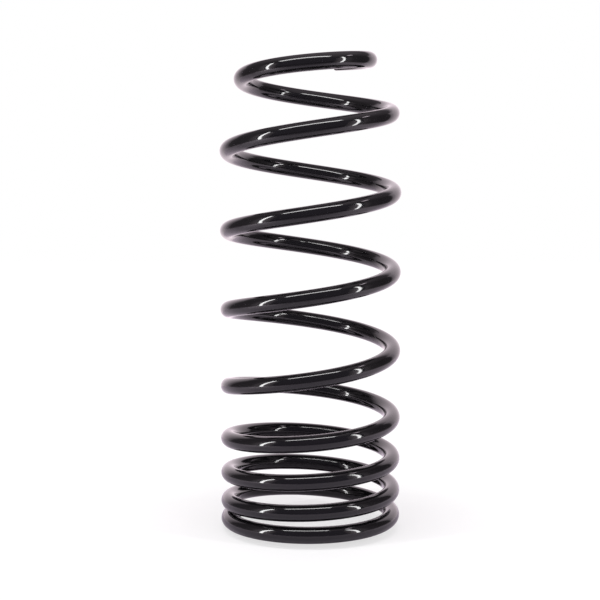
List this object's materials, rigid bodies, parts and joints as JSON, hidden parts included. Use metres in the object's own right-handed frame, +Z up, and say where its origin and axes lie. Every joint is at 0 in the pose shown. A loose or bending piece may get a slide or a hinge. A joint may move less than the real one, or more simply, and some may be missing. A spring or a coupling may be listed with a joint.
{
  "type": "suspension spring",
  "caption": "Round-bar steel coil spring for a vehicle suspension, with close turns at the foot, wide-open turns above them and a smaller pigtail eye at the top.",
  "frame": {"origin": "on the coil's axis, level with the lowest point of the lower turn", "axes": "+Z up along the coil's axis, from the closed foot to the pigtail; +X to the right and +Y away from the viewer of the picture"},
  "size_m": [0.14, 0.14, 0.3709],
  "materials": {
    "black_paint": "gloss"
  },
  "bodies": {
    "root": {"coil_spring": "black_paint"}
  },
  "joints": []
}
